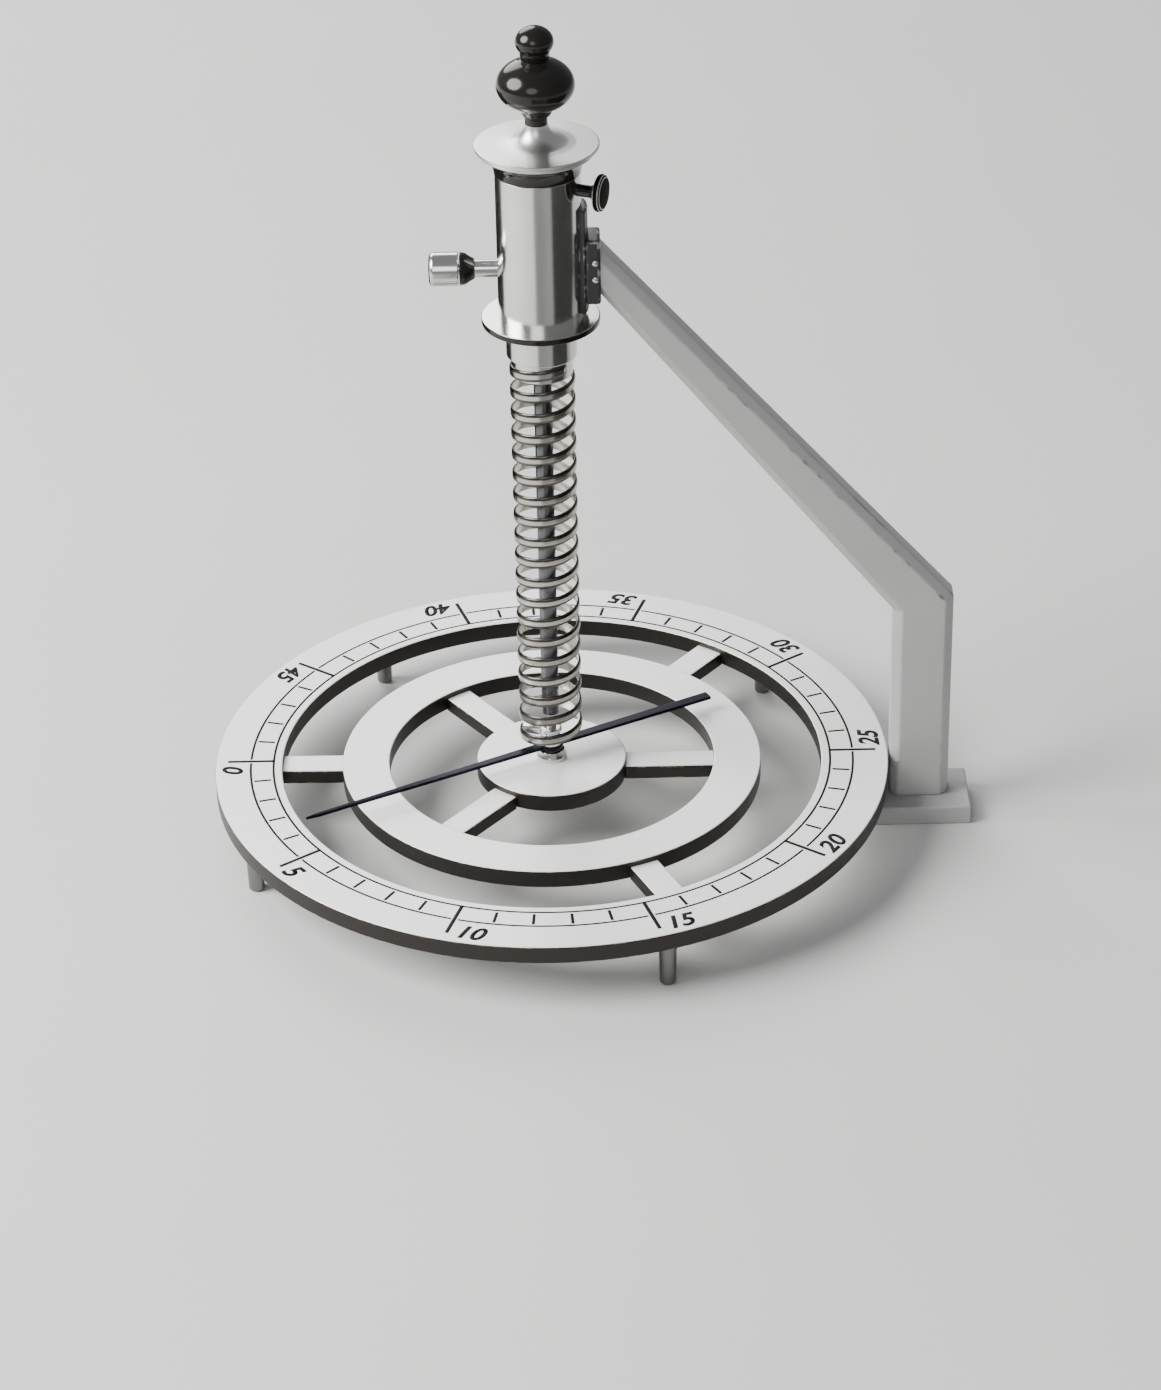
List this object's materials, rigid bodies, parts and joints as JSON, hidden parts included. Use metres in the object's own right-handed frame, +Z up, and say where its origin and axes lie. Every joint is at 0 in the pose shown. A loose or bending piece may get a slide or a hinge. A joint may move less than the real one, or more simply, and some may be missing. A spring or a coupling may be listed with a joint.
{
  "type": "galvanometer",
  "caption": "Bench galvanometer: a ribbon helix hangs from a bracketed torsion head over a divided ring dial and turns a needle.",
  "frame": {"origin": "middle of the part's footprint, on the surface that it stands on", "axes": "+Z up; +X from the dial towards the bracket's upright; the scale's 0 is on the -X side of the dial"},
  "size_m": [0.1796, 0.16, 0.201],
  "materials": {
    "silvered_brass": "silvered, satin, engraving filled black",
    "nickelled_brass": "nickelled and polished",
    "dark_bronze": "blackened and polished",
    "grey_iron": "grey enamel, satin",
    "blued_steel": "heat blued",
    "bright_steel": "bright",
    "bimetal_ribbon": "rolled ribbon, pale side out",
    "agate": "polished jewel"
  },
  "bodies": {
    "stand": {"scale_ring": "silvered_brass", "inner_ring": "silvered_brass", "centre_disc": "silvered_brass", "outer_spoke_1": "silvered_brass", "outer_spoke_2": "silvered_brass", "outer_spoke_3": "silvered_brass", "inner_spoke_1": "silvered_brass", "inner_spoke_2": "silvered_brass", "inner_spoke_3": "silvered_brass", "foot_1": "nickelled_brass", "foot_2": "nickelled_brass", "foot_3": "nickelled_brass", "foot_4": "nickelled_brass", "base_block": "grey_iron", "ring_block": "grey_iron", "ring_screw": "bright_steel", "bracket_screw_1": "bright_steel", "bracket_screw_2": "bright_steel", "bracket_bar": "grey_iron", "column_lug": "grey_iron", "lug_pin_1": "bright_steel", "lug_pin_2": "bright_steel", "sleeve": "nickelled_brass", "lower_flange": "nickelled_brass", "terminal_stud": "nickelled_brass", "pivot_cup": "nickelled_brass", "pivot_jewel": "agate"},
    "torsion_head": {"cap": "nickelled_brass", "finial_ball": "dark_bronze", "finial_button": "dark_bronze", "finial_stud": "bright_steel", "head_plug": "nickelled_brass", "head_collar": "nickelled_brass", "helix_anchor": "nickelled_brass", "guide_rod": "bright_steel", "helix": "bimetal_ribbon"},
    "needle_assembly": {"needle_staff": "bright_steel", "needle": "blued_steel", "needle_hub": "nickelled_brass", "helix_foot": "nickelled_brass"},
    "clamp_screw_shank": {"clamp_shank": "bright_steel"},
    "clamp_screw_head": {"clamp_head": "dark_bronze"},
    "binding_collar": {"terminal_collar": "dark_bronze"},
    "binding_knob": {"terminal_knob": "nickelled_brass"}
  },
  "joints": [
    {"name": "head_turn", "type": "hinge", "parent": "stand", "child": "torsion_head", "pos_m": [-0.0098, 0, 0.17], "axis": [0, 0, 1], "range_deg": [-90, 90]},
    {"name": "needle_turn", "type": "hinge", "parent": "torsion_head", "child": "needle_assembly", "pos_m": [-0.0098, 0, 0.0194], "axis": [0, 0, 1], "range_deg": [-28, 331], "stiffness_Nm_per_rad": 0.00076, "deforming": ["helix"]},
    {"name": "clamp_feed", "type": "slide", "parent": "stand", "child": "clamp_screw_shank", "axis": [0.9397, -0.342, 0], "range_m": [0, 0.0014]},
    {"name": "clamp_turn", "type": "hinge", "parent": "clamp_screw_shank", "child": "clamp_screw_head", "pos_m": [-0.0098, 0, 0.164], "axis": [0.9397, -0.342, 0], "range_deg": [0, 730]},
    {"name": "terminal_feed", "type": "slide", "parent": "stand", "child": "binding_collar", "axis": [-1, 0, 0], "range_m": [0, 0.0021]},
    {"name": "terminal_turn", "type": "hinge", "parent": "binding_collar", "child": "binding_knob", "pos_m": [-0.0098, 0, 0.1441], "axis": [-1, 0, 0], "range_deg": [0, 1090]}
  ],
  "couplings": [
    {"joint": "clamp_turn", "follows": "clamp_feed", "rad_per_m": 8976},
    {"joint": "terminal_turn", "follows": "terminal_feed", "rad_per_m": 8976}
  ]
}
